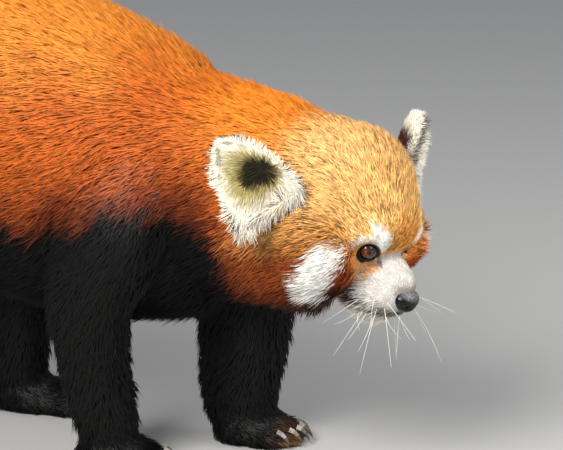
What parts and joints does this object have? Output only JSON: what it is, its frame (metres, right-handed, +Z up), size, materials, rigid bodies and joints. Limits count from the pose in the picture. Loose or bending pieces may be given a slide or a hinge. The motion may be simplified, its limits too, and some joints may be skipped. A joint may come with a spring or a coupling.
{
  "type": "red panda",
  "caption": "Life-size red panda in mid walk with lowered head, pricked white ears, black legs and a long bushy ringed tail.",
  "frame": {"origin": "centre of the whole model's box in plan, on the floor that the soles stand on", "axes": "+X towards the head, +Y to the animal's left, +Z up"},
  "size_m": [0.9106, 0.1924, 0.306],
  "materials": {
    "rust_coat": "dense rust-red fur, golden on the back",
    "face_coat": "short golden fur with white brows, cheeks and muzzle",
    "black_coat": "black fur",
    "tail_coat": "long rust fur with paler rings and a dark tip",
    "ear_coat": "cream-white fur, dark in the cup and on the back",
    "eye": "wet brown eye",
    "nose_leather": "moist black nose leather",
    "claw": "semi-gloss horn"
  },
  "bodies": {
    "root": {"torso": "rust_coat", "neck": "rust_coat", "head": "face_coat", "nose": "nose_leather", "eye_right": "eye", "eye_left": "eye", "ear_right": "ear_coat", "ear_left": "ear_coat", "tail": "tail_coat", "foreleg_right": "black_coat", "foreleg_left": "black_coat", "hindleg_right": "black_coat", "hindleg_left": "black_coat", "forepaw_right": "black_coat", "forepaw_left": "black_coat", "hindpaw_right": "black_coat", "hindpaw_left": "black_coat", "forepaw_right_claw_1": "claw", "forepaw_right_claw_2": "claw", "forepaw_right_claw_3": "claw", "forepaw_right_claw_4": "claw", "forepaw_right_claw_5": "claw", "forepaw_left_claw_1": "claw", "forepaw_left_claw_2": "claw", "forepaw_left_claw_3": "claw", "forepaw_left_claw_4": "claw", "forepaw_left_claw_5": "claw", "hindpaw_right_claw_1": "claw", "hindpaw_right_claw_2": "claw", "hindpaw_right_claw_3": "claw", "hindpaw_right_claw_4": "claw", "hindpaw_right_claw_5": "claw", "hindpaw_left_claw_1": "claw", "hindpaw_left_claw_2": "claw", "hindpaw_left_claw_3": "claw", "hindpaw_left_claw_4": "claw", "hindpaw_left_claw_5": "claw"}
  },
  "joints": []
}
